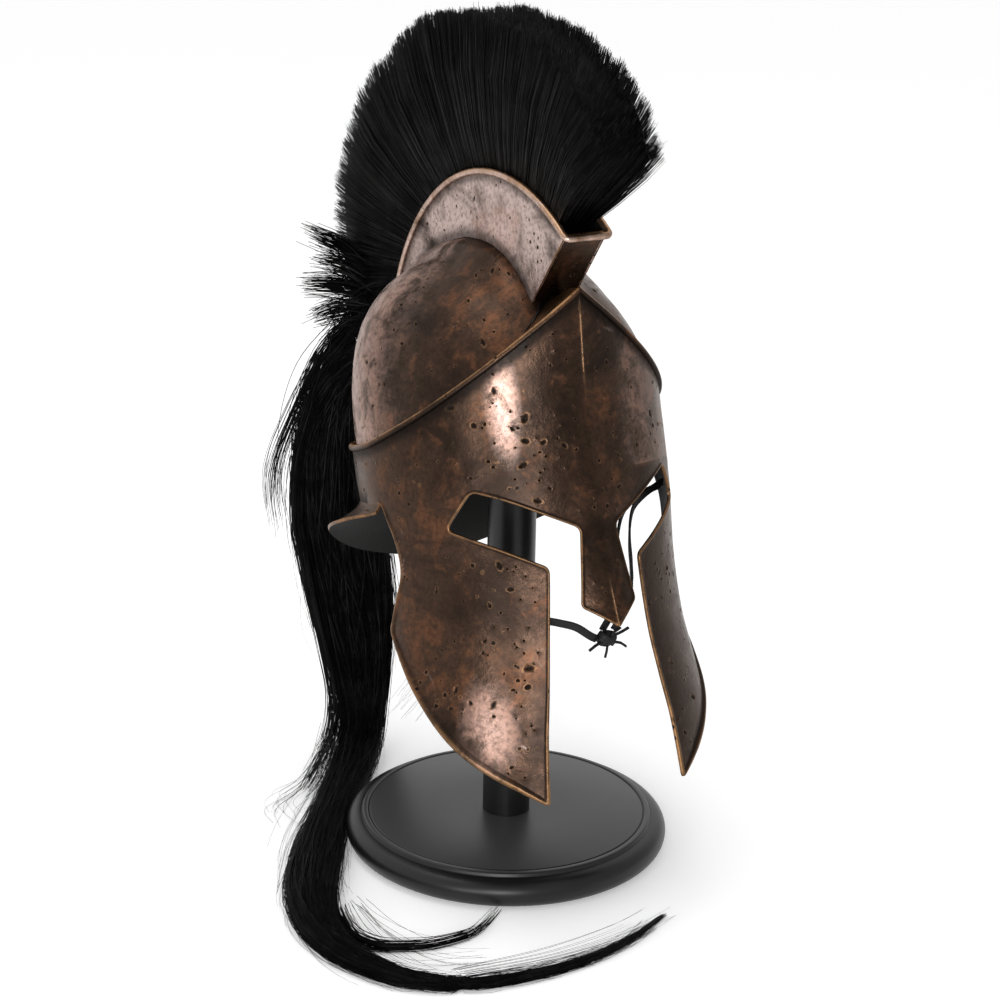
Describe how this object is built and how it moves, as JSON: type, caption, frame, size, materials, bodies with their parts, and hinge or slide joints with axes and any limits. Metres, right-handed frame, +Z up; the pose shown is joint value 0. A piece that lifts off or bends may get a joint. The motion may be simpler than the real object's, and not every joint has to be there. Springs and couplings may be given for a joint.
{
  "type": "greek bronze helmet with stand",
  "caption": "Greek bronze helmet with nose guard, cheek plates, flared neck guard and a black horsehair crest with a long tail, on a round black wooden stand.",
  "frame": {"origin": "on the floor at the middle of the stand's base, at its underside", "axes": "+Z up, the helmet's face looks along -Y, +X to the helmet's left cheek"},
  "size_m": [0.2926, 0.4203, 0.5657],
  "materials": {
    "bronze": "dark brown and copper red patina, worn golden edges, small pits",
    "crest_bronze": "grey violet patina, worn golden edges, small pits",
    "horsehair": "black horsehair, trimmed brush and long loose tail",
    "leather": "thin black leather lace",
    "black_wood": "black satin lacquer on turned wood"
  },
  "bodies": {
    "root": {"skull": "bronze", "face_plate": "bronze", "neck_guard": "bronze", "crest_box": "crest_bronze", "crest_hair": "horsehair", "tail_hair": "horsehair", "lace_near": "leather", "lace_far_front": "leather", "lace_far_back": "leather", "lace_knot": "leather", "stand_base": "black_wood", "stand_post": "black_wood"}
  },
  "joints": []
}
